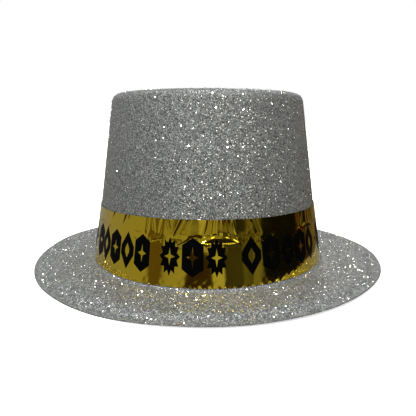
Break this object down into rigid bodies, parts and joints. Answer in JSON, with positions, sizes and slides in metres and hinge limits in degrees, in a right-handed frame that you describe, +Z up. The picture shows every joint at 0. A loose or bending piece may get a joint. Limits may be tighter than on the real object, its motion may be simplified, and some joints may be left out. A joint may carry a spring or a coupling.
{
  "type": "new year party hat",
  "caption": "Oval top hat of thin formed plastic with a silver glitter skin, a flat-footed brim and a gold foil band printed in black.",
  "frame": {"origin": "middle of the brim's footprint, on the surface that the hat stands on", "axes": "+Z up through the crown, -Y towards the front of the hat, +X to the side; the oval is longer along Y"},
  "size_m": [0.2566, 0.2826, 0.1226],
  "materials": {
    "grey_plastic": "thin thermoformed sheet, dull grey",
    "silver_glitter": "dense silver glitter flakes on a grey film",
    "gold_foil": null,
    "clear_tape": "thin clear adhesive tape",
    "adhesive_foam": "white double-sided adhesive foam"
  },
  "bodies": {
    "root": {"hat_shell": "grey_plastic", "glitter_skin": "silver_glitter", "foil_band": "gold_foil", "lap_tape": "clear_tape", "adhesive_pad_front": "adhesive_foam", "adhesive_pad_right": "adhesive_foam", "adhesive_pad_left": "adhesive_foam", "adhesive_pad_rear": "adhesive_foam"}
  },
  "joints": []
}
